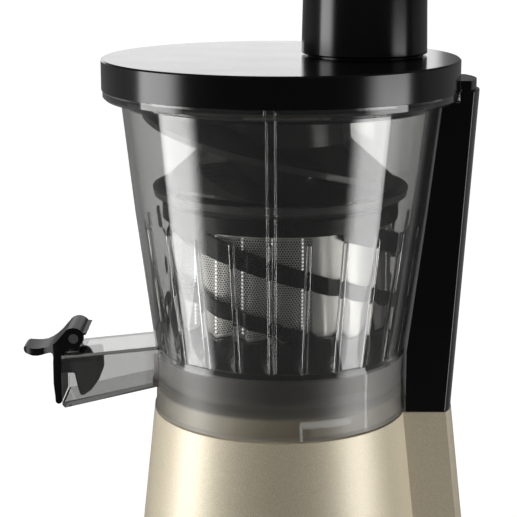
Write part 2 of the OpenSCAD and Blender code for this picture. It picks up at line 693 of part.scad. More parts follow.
// A ramp on the boss that the bowl twists up against, with a stop at its foot
ramp_r = boss_r + 1.1;
ramp_half = 1.4;
module lock_ramp() {
    sweep([for (i = [0:8]) let (z = base_h + 2.9 + 3.1 * i / 8)
        at_angle([[boss_r - 1, z - ramp_half], [boss_r - 1, z + ramp_half], [ramp_r, z + ramp_half],
            [ramp_r, z - ramp_half]], -76 + 23 * i / 8, 0)]);
    rotate(-80.6) translate([boss_r - 1, -0.8, base_h + 0.5]) cube([2, 1.6, 6.9]);
}

// The tower is a leaning rounded block that grows out of the cone on the column's side
module tower_fill(shrink, z0, z1) intersection() {
    translate([30, -tower_w / 2 + shrink, z0]) cube([90, tower_w - 2 * shrink, z1 - z0]);
    translate([column_x0 - column_r, 0, base_h]) rotate([0, -tower_lean, 0]) translate([0, 0, -230])
        cylinder(260, r = column_r - shrink);
}

module column_body(shrink, z0, z1) intersection() {
    translate([40, -tower_w / 2 + shrink, z0]) cube([70, tower_w - 2 * shrink, z1 - z0]);
    translate([column_x0 - column_r, 0, base_h]) rotate([0, column_lean, 0]) translate([0, 0, -30])
        cylinder(230, r = column_r - shrink);
}

module bowl_space(grow, down = 0) {
    disc_turned([[0, base_h - 5], [base_top_r + grow, base_h - 5], [base_top_r + grow, base_h + 27],
        [wall_mid_r + grow, bend_z], [bowl_top_r + grow, rim_z - 1], [bowl_top_r + grow, rim_z + 30],
        [0, rim_z + 30]]);
    translate([0, 0, rim_z - 1 - down]) cylinder(30, r = flange_r + grow - column_clear + flange_clear);
}

module column_cover() color(plastic_black) difference() {
    column_body(0, shoulder_z, lid_z);
    bowl_space(column_clear);
    difference() {
        column_body(column_t, shoulder_z - 1, lid_z - 2.4);
        bowl_space(column_clear + column_t, column_t);
    }
}

module lid_sensor_board() color(board_green) translate([column_outer(sensor_z) - 10.4, -6, sensor_z])
    cube([6, 12, board_t]);

function lead_ring(p, d) = [for (k = [0:7]) let (a = 45 * k)
    [p[0] + lead_r * cos(a) * d[1], lead_r * sin(a), p[1] - lead_r * cos(a) * d[0]]];
module sensor_lead() color(plastic_black) sweep([for (i = [0:len(lead_route) - 1])
    let (d = lead_route[min(i + 1, len(lead_route) - 1)] - lead_route[max(i - 1, 0)])
        lead_ring(lead_route[i], -d / norm(d))]);

module shaft_seal() color(silicone) tube(13, shaft_r + fit, 4, boss_z - 4);

module deck_screws() color(steel) for (a = deck_angles) rotate(a) translate([deck_circle, 0, box_top_z - 3]) {
    cylinder(10, r = fastener_r);
    translate([0, 0, -3]) cylinder(3, r = fastener_head_r);
}

// ---- Gearbox ----

module gearbox_cup() color([0.7, 0.7, 0.68]) difference() {
    union() {
        translate([0, 0, box_floor_z + plate_t])
            ring_gear(annulus_teeth, box_module, box_top_z - box_floor_z - 2 * plate_t, box_r);
        tube(box_r, 10, plate_t, box_top_z - plate_t);
        tube(20, 15, 10, box_top_z - eps);
        for (a = deck_angles) rotate(a) translate([box_r - 3, -4.5, box_top_z - 3]) cube([13, 9, 3]);
    }
    for (a = deck_angles) rotate(a) translate([deck_circle, 0, box_top_z - 10])
        cylinder(20, r = fastener_r + 0.2);
}

module gearbox_bearing() color(steel) tube(15, shaft_r + fit, 9, box_top_z);

module carrier(z) {
    translate([0, 0, z]) cylinder(plate_t, r = orbit_r + 5.5);
    for (k = [0:planet_count - 1]) rotate(120 * k) translate([orbit_r, 0, z - stage_h - 1])
        cylinder(stage_h + 2, r = planet_pin_r);
}

module output_carrier() color(steel) {
    carrier(stage_z[1] + stage_h + 0.6);
    translate([0, 0, stage_z[1] + stage_h + 0.6]) cylinder(gear_z - stage_z[1] - stage_h - 0.8, r = shaft_r);
    translate([0, 0, gear_z - 1]) cylinder(hex_top - gear_z + 1, r = hex_r, $fn = 6);
}

module input_carrier() color(steel) {
    carrier(stage_z[0] + stage_h + 0.6);
    translate([0, 0, stage_z[0] + stage_h + 0.6]) rotate(180 / sun_teeth)
        gear(sun_teeth, box_module, stage_z[1] - stage_z[0] - 1);
}

module planet(stage, k) color(steel) rotate(120 * k) translate([orbit_r, 0, stage_z[stage]])
    difference() {
        gear(planet_teeth, box_module, stage_h);
        translate([0, 0, -1]) cylinder(stage_h + 2, r = planet_pin_r + fit);
    }

module motor_plate() color([0.7, 0.7, 0.68]) difference() {
    tube(motor_r + 2, 11, plate_t, box_floor_z);
    for (a = corner_angles) rotate(a) translate([stud_r, 0, box_floor_z - 1]) cylinder(20, r = 2);
}

// ---- Motor ----

module motor_bearing(z) color(steel) tube(11, motor_shaft_r + fit, 7, z);

module motor_stator() color([0.3, 0.3, 0.32]) difference() {
    translate([0, 0, stator_z]) cylinder(stator_h, r = motor_r);
    translate([0, 0, stator_z - 1]) cylinder(stator_h + 2, r = rotor_r + 0.5);
    for (a = corner_angles) rotate(a) translate([stud_r, 0, stator_z - 1]) cylinder(stator_h + 2, r = 2);
}

module stator_windings() color(copper) for (z = [stator_z - 10, stator_z + stator_h])
    tube(motor_r - 8, rotor_r + 2, 10, z);

module motor_rotor() color([0.35, 0.35, 0.36]) tube(rotor_r, motor_shaft_r, stator_h - 2, stator_z + 1);

module motor_shaft() color(steel) {
    translate([0, 0, fan_z - 2]) cylinder(stage_z[0] - fan_z + 2, r = motor_shaft_r);
    translate([0, 0, stage_z[0] - 2]) rotate(180 / sun_teeth) gear(sun_teeth, box_module, stage_h + 2);
}

module cooling_fan() color(plastic_black) difference() {
    union() {
        translate([0, 0, fan_z]) cylinder(10, r = 9);
        translate([0, 0, fan_z + 9]) tube(34, 5, 1.4);
        for (k = [0:8]) rotate(40 * k) translate([8, -0.8, fan_z]) cube([26, 1.6, 9.5]);
    }
    translate([0, 0, fan_z - 1]) cylinder(20, r = motor_shaft_r);
}

module motor_bracket() color([0.7, 0.7, 0.68]) difference() {
    union() {
        tube(15, 11, 7, stator_z - 20);
        for (a = corner_angles) rotate(a) {
            translate([12, -4, stator_z - 20]) cube([motor_r - 12, 8, 3]);
            translate([stud_r, 0, stator_z - 20]) cylinder(20, r = 3.8);
        }
    }
    for (a = corner_angles) rotate(a) translate([stud_r, 0, stator_z - 25]) cylinder(40, r = 2);
}

module motor_studs() color(steel) for (a = corner_angles) rotate(a) translate([stud_r, 0, stator_z - 23])
    cylinder(box_floor_z + plate_t - stator_z + 23, r = 2);

// ---- Electrics, base plate, foot and knob ----

module control_board() color(board_green) translate([board_x, -20, plate_z + base_plate_t])
    cube([board_t, 40, board_h]);

module run_capacitor() color([0.8, 0.8, 0.8]) translate([-58, 0, plate_z + base_plate_t]) cylinder(34, r = 9);

module base_plate() color(plastic_black) difference() {
    union() {
        translate([0, 0, plate_z]) cylinder(base_plate_t, r = base_r(plate_z) - shell_t - 0.7);
        tower_fill(shell_t + 0.4, plate_z, plate_z + base_plate_t);
    }
    for (a = corner_angles) rotate(a) translate([post_circle, 0, 0]) cylinder(20, r = fastener_r);
    for (a = [0:15:345]) rotate(a) translate([24, -2, 0]) cube([24, 4, 10]);
}

module base_screws() color(steel) for (a = corner_angles) rotate(a) translate([post_circle, 0, plate_z]) {
    cylinder(18, r = fastener_r);
    translate([0, 0, -head_h]) cylinder(head_h, r = fastener_head_r);
}

module foot_ring() color(silicone) difference() {
    tube(foot_out, foot_out - foot_w, foot_h);
    for (a = corner_angles) rotate(a) translate([post_circle, 0, -1]) cylinder(20, r = fastener_head_r + 0.4);
}

module cord_gland() color(plastic_black) on_side(gland_z, 180) difference() {
    union() {
        translate([0, 0, -7]) cylinder(10, r = gland_r - fit);
        translate([0, 0, 0.8]) cylinder(4, r = gland_r + 2);
    }
    translate([0, 0, -8]) cylinder(20, r = gland_bore_r);
}

module control_knob() color(plastic_black) knob_place() difference() {
    union() {
        translate([0, 0, knob_gap]) cylinder(4, r = knob_r);
        translate([0, 0, knob_gap + 4]) cylinder(9, r1 = knob_r - 2, r2 = knob_r - 3);
        translate([-2.5, -knob_r + 2, knob_gap + 12]) cube([5, 2 * knob_r - 4, 4]);
    }
    translate([0, 0, -1]) cylinder(9, r = 3);
}

module knob_spindle() color(steel) knob_place() translate([0, 0, -14]) cylinder(22, r = 3);

module rotary_switch() color(plastic_black) knob_place() difference() {
    translate([-10, -10, -24]) cube([20, 20, 12]);
    translate([0, 0, -15]) cylinder(10, r = 3 + fit);
}

lid_cover();
feed_chute();
lid_seal();
screw_bush();
lug_magnet();
food_pusher();
pusher_seal();
juice_bowl();
bowl_floor_seal();
pulp_duct_plug();
idler_pin();
spout_hinge_pin();
strainer_frame();
strainer_mesh();
spout_cap();
spout_plug();
auger_screw();
auger_top_pin();
auger_drive_socket();
auger_pinion();
wiper_cage();
wiper_blades();
idler_gear();
body_shell();
column_cover();
lid_sensor_board();
sensor_lead();
shaft_seal();
deck_screws();
gearbox_cup();
gearbox_bearing();
output_carrier();
input_carrier();
planet(0, 0);  // planet_low_1
planet(0, 1);  // planet_low_2
planet(0, 2);  // planet_low_3
planet(1, 0);  // planet_high_1
planet(1, 1);  // planet_high_2
planet(1, 2);  // planet_high_3
motor_plate();
motor_bearing(box_floor_z - 3);  // motor_bearing_upper
motor_stator();
stator_windings();
motor_rotor();
motor_shaft();
cooling_fan();
motor_bracket();
motor_bearing(stator_z - 20);  // motor_bearing_lower
motor_studs();
control_board();
run_capacitor();
base_plate();
base_screws();
foot_ring();
cord_gland();
control_knob();
knob_spindle();
rotary_switch();
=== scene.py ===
import json
import math

import bpy
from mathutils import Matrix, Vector

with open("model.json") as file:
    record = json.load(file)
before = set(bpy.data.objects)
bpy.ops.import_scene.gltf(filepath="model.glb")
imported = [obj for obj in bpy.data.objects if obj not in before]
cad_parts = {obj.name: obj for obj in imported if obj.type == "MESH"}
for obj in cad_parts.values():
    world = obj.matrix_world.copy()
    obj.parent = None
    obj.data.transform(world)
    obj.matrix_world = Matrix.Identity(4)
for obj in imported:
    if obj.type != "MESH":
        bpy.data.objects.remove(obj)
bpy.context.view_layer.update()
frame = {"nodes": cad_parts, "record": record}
cadNodes = frame["nodes"]
finishOf = {part["node"]: part["material_slot"] for part in frame["record"]["subparts"]}
print("frame loaded:", len(cadNodes), "nodes")

millimetres = 1000.0  # in a metre
fullTurn = 360.0
degreesPerRadian = 180 / math.pi


class Signal:  # a node's socket that takes part in sums
    def __init__(self, finish, socket):
        self.finish = finish
        self.socket = socket

    def maths(self, operation, first, second=0.0):
        return self.finish.node("Math", {"operation": operation}, {0: first, 1: second})

    def __add__(self, other):
        return self.maths("ADD", self, other)

    def __radd__(self, other):
        return self.maths("ADD", other, self)

    def __sub__(self, other):
        return self.maths("SUBTRACT", self, other)

    def __rsub__(self, other):
        return self.maths("SUBTRACT", other, self)

    def __mul__(self, other):
        return self.maths("MULTIPLY", self, other)

    def __rmul__(self, other):
        return self.maths("MULTIPLY", other, self)

    def __truediv__(self, other):
        return self.maths("DIVIDE", self, other)

    def __rtruediv__(self, other):
        return self.maths("DIVIDE", other, self)

    def __mod__(self, other):
        return self.maths("FLOORED_MODULO", self, other)

    def __pow__(self, other):
        return self.maths("POWER", self, other)

    def __lt__(self, other):
        return self.maths("LESS_THAN", self, other)

    def __gt__(self, other):
        return self.maths("GREATER_THAN", self, other)

    def __abs__(self):
        return self.maths("ABSOLUTE", self)


class Finish:  # a material's or the world's node tree while it is written
    def __init__(self, name, owner=None):
        self.owner = owner or bpy.data.materials.new(name)
        self.owner.use_nodes = True
        self.tree = self.owner.node_tree
        self.tree.nodes.clear()

    def node(self, kind, settings=None, sockets=None, out=0):
        made = self.tree.nodes.new("ShaderNode" + kind)
        for key, value in (settings or {}).items():
            setattr(made, key, value)
        for key, value in (sockets or {}).items():
            if isinstance(value, Signal):
                self.tree.links.new(value.socket, made.inputs[key])
            else:
                made.inputs[key].default_value = value
        return Signal(self, made.outputs[out])

    def spot(self):  # place on the object, in millimetres of the shared frame
        metres = self.node("TexCoord", out=3)
        return self.node("VectorMath", {"operation": "SCALE"}, {0: metres, 3: millimetres})

    def xyz(self, vector):
        split = self.node("SeparateXYZ", None, {0: vector})
        outputs = split.socket.node.outputs
        return [Signal(self, outputs[axis]) for axis in range(3)]

    def joined(self, x, y, z):
        return self.node("CombineXYZ", None, {0: x, 1: y, 2: z})

    def turn(self, aside, ahead):  # radians from the ahead axis towards the aside axis
        return self.node("Math", {"operation": "ARCTAN2"}, {0: aside, 1: ahead})

    def noise(self, vector, size, detail=2.0):
        return self.node("TexNoise", None, {"Vector": vector, "Scale": 1.0 / size, "Detail": detail})

    def blendColour(self, factor, first, second):
        return self.node("Mix", {"data_type": "RGBA"}, {0: factor, 6: first, 7: second}, 2)

    def ease(self, value, start, end, low=0.0, high=1.0):
        return self.node("MapRange", {"interpolation_type": "SMOOTHSTEP"},
                         {0: value, 1: start, 2: end, 3: low, 4: high})

    def bump(self, height, distance):
        return self.node("Bump", None, {"Height": height, "Distance": distance, "Strength": 1.0})

    def glow(self, colour, strength=1.0):
        return self.node("Emission", None, {"Color": colour, "Strength": strength})

    def matt(self, colour):
        return self.node("BsdfDiffuse", None, {"Color": colour})

    def blendShader(self, factor, first, second):
        return self.node("MixShader", None, {0: factor, 1: first, 2: second})

    def addShader(self, first, second):
        return self.node("AddShader", None, {0: first, 1: second})

    def surface(self, shader):
        kind = "OutputMaterial" if isinstance(self.owner, bpy.types.Material) else "OutputWorld"
        end = self.tree.nodes.new("ShaderNode" + kind)
        self.tree.links.new(shader.socket, end.inputs["Surface"])
        return self.owner


def grey(level):
    return (level, level, level, 1)


# moulded plastics: grain is the texture's size in millimetres, relief its height in metres
strainerBlack = {"dark": (0.003, 0.003, 0.0031, 1), "light": (0.006, 0.006, 0.0062, 1), "roughness": 0.26,
                 "specular": 0.4, "grain": 0.6, "relief": 0.00001}
mouldings = {
    "lid_black": {"dark": (0.0016, 0.0016, 0.0017, 1), "light": (0.003, 0.003, 0.0031, 1), "roughness": 0.17,
                  "specular": 0.5, "grain": 0.35, "relief": 0.000004},
    "silicone_dark": {"dark": (0.028, 0.028, 0.029, 1), "light": (0.042, 0.042, 0.043, 1), "roughness": 0.62,
                      "specular": 0.5, "grain": 0.5, "relief": 0.00003},
    "strainer_black": strainerBlack,
    "cap_black": dict(strainerBlack, roughness=0.3, specular=0.14),
    # painted light: the screw and the frame get lighter copies of the strainer's black
    "screw_lit_grey": dict(strainerBlack, dark=grey(0.036), light=grey(0.05), roughness=0.2, specular=0.5),
    "frame_lit_grey": dict(strainerBlack, dark=grey(0.05), light=grey(0.065), roughness=0.3),
    "gear_plastic": {"dark": (0.62, 0.60, 0.52, 1), "light": (0.72, 0.70, 0.62, 1), "roughness": 0.45,
                     "specular": 0.5, "grain": 0.8, "relief": 0.00003},
    "board_green": {"dark": (0.01, 0.10, 0.04, 1), "light": (0.02, 0.16, 0.07, 1), "roughness": 0.35,
                    "specular": 0.5, "grain": 1.5, "relief": 0.00005},
    "inner_plastic": {"dark": grey(0.02), "light": grey(0.035), "roughness": 0.5,
                      "specular": 0.5, "grain": 0.6, "relief": 0.00004},
    "capacitor_white": {"dark": (0.60, 0.60, 0.57, 1), "light": (0.70, 0.70, 0.67, 1), "roughness": 0.4,
                        "specular": 0.5, "grain": 0.7, "relief": 0.00002},
}
mouldingWear = {"cloud": 22.0, "cloudDetail": 3.0, "cloudRoughness": 0.04, "grainRoughness": 0.05}


def paintMoulding(name, values):
    wear = mouldingWear
    paint = Finish(name)
    spot = paint.spot()
    grain = paint.noise(spot, values["grain"])
    cloud = paint.noise(spot, wear["cloud"], wear["cloudDetail"])
    uneven = wear["cloudRoughness"] * (cloud - 0.5) + wear["grainRoughness"] * (grain - 0.5)
    return paint.surface(paint.node("BsdfPrincipled", None, {
        "Base Color": paint.blendColour(cloud, values["dark"], values["light"]),
        "Roughness": values["roughness"] + uneven, "Specular IOR Level": values["specular"],
        "Normal": paint.bump(grain, values["relief"])}))


# the body's lacquer, with flakes under a soft coat
champagneLacquer = {"dark": (0.52, 0.455, 0.325, 1), "light": (0.72, 0.65, 0.49, 1), "metallic": 0.36,
                    "flake": 0.2, "flakeContrast": 2.0, "flakeMiddle": 0.3, "flakeRoughness": 0.1, "roughness": 0.5,
                    "coat": 1.0, "coatRoughness": 0.36,
                    "orangePeel": 2.6, "flakeRelief": 0.15, "relief": 0.000012}
# printed dots round the knob
knobDots = {"height": 70.0, "radius": 21.5, "dotRadius": 0.7, "step": 30.0, "sweep": 100.0, "frontFrom": -50.0,
            "colour": grey(0.05)}


def markKnobDots(paint, x, y, z):
    values = knobDots
    step = values["step"]
    up = z - values["height"]
    fromKnob = (x * x + up * up) ** 0.5
    turn = paint.turn(x, up) * degreesPerRadian
    aside = ((turn + step / 2 + fullTurn) % step - step / 2) * (values["radius"] / degreesPerRadian)
    outward = fromKnob - values["radius"]
    near = (aside * aside + outward * outward) ** 0.5 < values["dotRadius"]
    return near * (y < values["frontFrom"]) * (abs(turn) < values["sweep"])


def paintChampagne(name):
    values = champagneLacquer
    paint = Finish(name)
    spot = paint.spot()
    flakes = paint.node("TexVoronoi", None, {"Vector": spot, "Scale": 1.0 / values["flake"]}, 1)
    tone = paint.node("SeparateColor", None, {0: flakes}) ** values["flakeContrast"]
    orange = paint.noise(spot, values["orangePeel"], detail=1.0)
    lacquer = paint.blendColour(tone, values["dark"], values["light"])
    dot = markKnobDots(paint, *paint.xyz(spot))
    return paint.surface(paint.node("BsdfPrincipled", None, {
        "Base Color": paint.blendColour(dot, lacquer, knobDots["colour"]),
        "Metallic": values["metallic"] * (1.0 - dot),
        "Roughness": values["roughness"] + values["flakeRoughness"] * (tone - values["flakeMiddle"]),
        "Coat Weight": values["coat"], "Coat Roughness": values["coatRoughness"],
        "Normal": paint.bump(tone * values["flakeRelief"] + orange, values["relief"])}))


# the bowl's clear wall; lengths in millimetres of the shared frame, columnFrom and columnTo in shares of the radius;
# between them the tint darkens towards the column, painted shade of the black column beside it
smokyWall = {"tint": (0.62, 0.62, 0.61, 1), "index": 1.5, "coat": 0.2, "coatRoughness": 0.03,
             "roughness": 0.012, "flow": 14.0, "flowRoughness": 0.016, "flowRelief": 0.00003,
             "columnShadeTint": (0.33, 0.33, 0.325, 1), "columnFrom": 0.8, "columnTo": 0.93,
             "spoutTint": (0.68, 0.68, 0.67, 1), "spoutFrom": -58.0, "spoutTo": -62.0, "spoutBelow": 226.0,
             "earTint": grey(0.05), "earsBeyond": -87.5, "earsAbove": 220.2,
             "haze": 0.013, "hazeColour": (0.75, 0.75, 0.74, 1), "shadowTint": (0.66, 0.66, 0.65, 1)}

# the bowl's frosted skirt: milky stuff under a thin skin, which covers more over a band of painted shade and on the
# right, where it is a painted highlight;
# the milky stuff carries painted highlights at both sides; turns are in degrees from the front towards the column
frostedSkirt = {"top": 220.6, "low": 194.0, "radius": 57.4, "index": 1.5,
                "roughness": 0.42, "grain": 0.5, "grainRoughness": 0.08, "relief": 0.00001,
                "tint": (0.26, 0.24, 0.205, 1), "leftHighlightTint": (0.56, 0.55, 0.52, 1),
                "rightHighlightTint": (0.72, 0.71, 0.67, 1), "sideFrom": 30.0, "sideTo": 54.0,
                "lowTint": (0.58, 0.56, 0.50, 1), "lowFrom": 202.5, "lowTo": 207.0,
                "skin": 0.1, "skinColour": (0.16, 0.16, 0.15, 1), "skinRoughness": 0.4, "skinGrain": 0.1,
                "bandSkin": 0.62, "shadeBandColour": (0.085, 0.079, 0.066, 1), "bandLow": 203.2, "bandTop": 210.0,
                "bandEdge": 2.0, "bandFade": 0.7,
                "glowSkin": 0.22, "glowColour": (0.56, 0.55, 0.52, 1), "glowFrom": 12.0, "glowTo": 36.0,
                "glowEnd": 56.0, "glowLast": 0.4,
                "seamTurn": 41.5, "seamSkin": 0.5, "seamWide": 0.6,
                "trackFrom": 9.5, "trackTo": 34.0, "trackFade": 1.5, "trackLow": 199.4, "trackTop": 203.0,
                "trackEdge": 1.2, "trackSkin": 0.36}


def makeClearWall(paint, spot, x, y, z):
    values = smokyWall
    flow = paint.noise(spot, values["flow"], detail=1.0)
    radius = (x * x + y * y) ** 0.5
    ears = (x < values["earsBeyond"]) * (z > values["earsAbove"])
    spout = paint.ease(x, values["spoutFrom"], values["spoutTo"]) * (z < values["spoutBelow"])
    # painted shade: the wall's tint darkens towards the black column beside the bowl
    columnShade = paint.ease(x / radius, values["columnFrom"], values["columnTo"])
    tint = paint.blendColour(columnShade, values["tint"], values["columnShadeTint"])
    tint = paint.blendColour(spout, tint, values["spoutTint"])
    clear = paint.node("BsdfPrincipled", None, {
        "Base Color": paint.blendColour(ears, tint, values["earTint"]),
        "Roughness": values["roughness"] + values["flowRoughness"] * flow, "IOR": values["index"],
        "Transmission Weight": 1.0, "Coat Weight": values["coat"], "Coat Roughness": values["coatRoughness"],
        "Normal": paint.bump(flow, values["flowRelief"])})
    return paint.blendShader(values["haze"], clear, paint.matt(values["hazeColour"]))


def makeFrost(paint, spot, x, y, z):
    values = frostedSkirt
    grain = paint.noise(spot, values["grain"])
    # painted highlights: the milky stuff is paler at the left and right sides, where the side lights fall
    side = values["sideFrom"], values["sideTo"]
    middle = paint.blendColour(paint.ease(x, -side[0], -side[1]), values["tint"], values["leftHighlightTint"])
    middle = paint.blendColour(paint.ease(x, *side), middle, values["rightHighlightTint"])
    tint = paint.blendColour(paint.ease(z, values["lowTo"], values["lowFrom"]), middle, values["lowTint"])
    milky = paint.node("BsdfPrincipled", None, {
        "Base Color": tint, "Roughness": values["roughness"] + values["grainRoughness"] * (grain - 0.5),
        "IOR": values["index"], "Transmission Weight": 1.0, "Normal": paint.bump(grain, values["relief"])})

    # painted shade: a dark band round the skirt, faded on the right where the painted highlight lies
    bandLow, bandTop, bandEdge = values["bandLow"], values["bandTop"], values["bandEdge"]
    shadeBand = paint.ease(z, bandLow, bandLow + bandEdge) * paint.ease(z, bandTop, bandTop - bandEdge)
    # painted highlight: towards the column the skin is paler and covers more
    rightHighlight = paint.ease(x, values["glowFrom"], values["glowTo"])
    rightHighlight = rightHighlight * paint.ease(x, values["glowTo"], values["glowEnd"], 1.0, values["glowLast"])
    shadeBand = shadeBand * (1.0 - rightHighlight * values["bandFade"])

    # the mould's seam, and the lock's track with its stop, are real; their paler stretches are painted highlights
    turn = paint.turn(x, -1 * y) * degreesPerRadian
    seam = abs(turn - values["seamTurn"]) < values["seamWide"]
    below = z < values["trackTop"]
    trackFrom, trackTo, trackLow = values["trackFrom"], values["trackTo"], values["trackLow"]
    track = (turn > trackFrom) * paint.ease(turn, trackTo, trackTo - values["trackFade"])
    track = track * below * paint.ease(z, trackLow, trackLow + values["trackEdge"])
    stop = (abs(turn - trackFrom) < values["seamWide"]) * below
    paler = track + stop * (1.0 - track)

    pale = rightHighlight + paler * (1.0 - rightHighlight)
    skinColour = paint.blendColour(pale, values["skinColour"], values["glowColour"])
    skin = paint.node("BsdfPrincipled", None, {
        "Base Color": paint.blendColour(shadeBand, skinColour, values["shadeBandColour"]),
        "Roughness": values["skinRoughness"] + values["skinGrain"] * (grain - 0.5),
        "Normal": paint.bump(grain, values["relief"])})
    cover = values["skin"] + shadeBand * values["bandSkin"] + rightHighlight * values["glowSkin"]
    cover = cover + seam * values["seamSkin"] + paler * values["trackSkin"]
    return paint.blendShader(cover, milky, skin)


def paintBowl(name):
    paint = Finish(name)
    spot = paint.spot()
    x, y, z = paint.xyz(spot)
    skirt = frostedSkirt
    frosted = (z < skirt["top"]) * ((x * x + y * y) ** 0.5 < skirt["radius"]) * (z > skirt["low"])
    whole = paint.blendShader(frosted, makeClearWall(paint, spot, x, y, z), makeFrost(paint, spot, x, y, z))
    # light that casts shadows passes straight through, dimmed
    shadow = paint.node("LightPath", None, None, "Is Shadow Ray")
    through = paint.node("BsdfTransparent", None, {"Color": smokyWall["shadowTint"]})
    return paint.surface(paint.blendShader(shadow, whole, through))


# the strainer's sheet: staggered holes, plain stretches, and unpunched seams with a column of painted glints, bright
# dots that glow;
# plain stretches and seams are placed in degrees from the front towards the column
sieveSteel = {"steel": (0.70, 0.69, 0.66, 1), "holeColour": (0.02, 0.02, 0.02, 1), "radius": 49.2,
              "pitch": 1.14, "holeRadius": 0.38, "holeEdge": 0.08, "low": 238.0, "high": 281.0,
              "plainEvery": 120.0, "plainFrom": 16.0, "plainTo": 62.0,
              "seamStep": 14.5, "seamFrom": -35.3, "seamWide": 0.55,
              "dotPitch": 1.6, "dotRadius": 0.4, "glintColour": (0.9, 0.9, 0.88, 1), "glintGlow": 1.3,
              "roughness": 0.32, "scratchAcross": 0.5, "scratchUp": 0.02, "scratchRoughness": 0.14,
              "holeRoughness": 0.3, "holeRelief": 0.0002}


def paintSieve(name):
    values = sieveSteel
    pitch, radius = values["pitch"], values["radius"]
    paint = Finish(name)
    x, y, z = paint.xyz(paint.spot())
    turn = paint.turn(x, -1 * y)
    degrees = turn * degreesPerRadian
    rowHeight = pitch * math.sqrt(3) / 2
    row = z / rowHeight
    rowIndex = paint.node("Math", {"operation": "FLOOR"}, {0: row})
    across = (turn * radius + (rowIndex % 2.0) * (pitch / 2)) % pitch - pitch / 2
    up = (row - rowIndex - 0.5) * rowHeight
    offCentre = (across * across + up * up) ** 0.5

    step = values["seamStep"]
    seamTurn = (degrees + fullTurn - values["seamFrom"] + step / 2) % step - step / 2
    seamAcross = seamTurn * (radius / degreesPerRadian)
    seam = abs(seamAcross) < values["seamWide"]
    sector = (degrees + fullTurn - values["plainFrom"]) % values["plainEvery"]
    punched = (sector > values["plainTo"] - values["plainFrom"]) * (z > values["low"]) * (z < values["high"])
    inner, outer = values["holeRadius"] - values["holeEdge"], values["holeRadius"] + values["holeEdge"]
    hole = paint.ease(offCentre, inner, outer, 1.0, 0.0) * punched * (1.0 - seam)
    # painted glints: bright dots that glow down each seam
    dotUp = z % values["dotPitch"] - values["dotPitch"] / 2
    dot = ((seamAcross * seamAcross + dotUp * dotUp) ** 0.5 < values["dotRadius"]) * punched

    stretched = paint.joined(degrees * values["scratchAcross"], z * values["scratchUp"], 0.0)
    scratches = paint.noise(stretched, 1.0, detail=3.0)
    sheet = paint.blendColour(hole, values["steel"], values["holeColour"])
    return paint.surface(paint.node("BsdfPrincipled", None, {
        "Base Color": paint.blendColour(dot, sheet, values["glintColour"]), "Metallic": (1.0 - hole) * (1.0 - dot),
        "Emission Color": paint.blendColour(dot, grey(0.0), grey(1.0)), "Emission Strength": values["glintGlow"],
        "Roughness": values["roughness"] + values["scratchRoughness"] * scratches + values["holeRoughness"] * hole,
        "Normal": paint.bump(1.0 - hole, values["holeRelief"])}))


# bare metals, brushed round the upright axis
metals = {"pin_steel": {"colour": (0.62, 0.62, 0.63), "roughness": 0.24, "relief": 0.00001},
          "gear_steel": {"colour": (0.36, 0.36, 0.37), "roughness": 0.4, "relief": 0.00001},
          "cast_metal": {"colour": (0.55, 0.55, 0.55), "roughness": 0.5, "relief": 0.00006}}
brushing = {"across": 0.2, "up": 6.0, "shade": 0.86, "roughness": 0.14}


def paintMetal(name, values):
    paint = Finish(name)
    x, y, z = paint.xyz(paint.spot())
    stretched = paint.joined(x * brushing["across"], y * brushing["across"], z * brushing["up"])
    lines = paint.noise(stretched, 1.0, detail=3.0)
    colour = values["colour"]
    shaded = tuple(part * brushing["shade"] for part in colour)
    return paint.surface(paint.node("BsdfPrincipled", None, {
        "Base Color": paint.blendColour(lines, (*shaded, 1), (*colour, 1)), "Metallic": 1.0,
        "Roughness": values["roughness"] + brushing["roughness"] * (lines - 0.5),
        "Normal": paint.bump(lines, values["relief"])}))


copperWinding = {"dark": (0.30, 0.11, 0.035, 1), "light": (0.66, 0.30, 0.11, 1), "turnScale": 90.0, "strand": 0.6,
                 "wander": 2.0, "metallic": 0.5, "roughness": 0.3, "strandRoughness": 0.2, "relief": 0.0003}


def paintWinding(name):
    values = copperWinding
    paint = Finish(name)
    x, y, z = paint.xyz(paint.spot())
    strands = paint.node("TexWave", {"bands_direction": "X"}, {
        "Vector": paint.joined(paint.turn(y, x) * values["turnScale"], z, 0.0), "Scale": values["strand"],
        "Distortion": values["wander"]}, 1)
    return paint.surface(paint.node("BsdfPrincipled", None, {
        "Base Color": paint.blendColour(strands, values["dark"], values["light"]), "Metallic": values["metallic"],
        "Roughness": values["roughness"] + values["strandRoughness"] * strands,
        "Normal": paint.bump(strands, values["relief"])}))


ironSheets = {"dark": (0.05, 0.05, 0.055, 1), "light": (0.20, 0.20, 0.21, 1), "sheet": 0.65, "metallic": 0.7,
              "roughness": 0.42, "sheetRoughness": 0.1, "relief": 0.0001}


def paintLamination(name):
    values = ironSheets
    paint = Finish(name)
    z = paint.xyz(paint.spot())[2]
    sheet = abs((z / values["sheet"]) % 1.0 - 0.5) * 2.0
    return paint.surface(paint.node("BsdfPrincipled", None, {
        "Base Color": paint.blendColour(sheet, values["dark"], values["light"]), "Metallic": values["metallic"],
        "Roughness": values["roughness"] + values["sheetRoughness"] * sheet,
        "Normal": paint.bump(sheet, values["relief"])}))


finishes = {slot: paintMoulding(slot, values) for slot, values in mouldings.items()}
finishes.update({slot: paintMetal(slot, values) for slot, values in metals.items()})
for slot, painter in (("base_champagne", paintChampagne), ("bowl_smoke", paintBowl), ("mesh_steel", paintSieve),
                      ("lamination", paintLamination), ("winding_copper", paintWinding)):
    finishes[slot] = painter(slot)

# three nodes look unlike the rest of their slot: the screw and the frame take lighter copies of the strainer's
# black, which is painted light, and the cap a less shiny one
finishOf.update({"spout_cap": "cap_black", "auger_screw": "screw_lit_grey", "strainer_frame": "frame_lit_grey"})

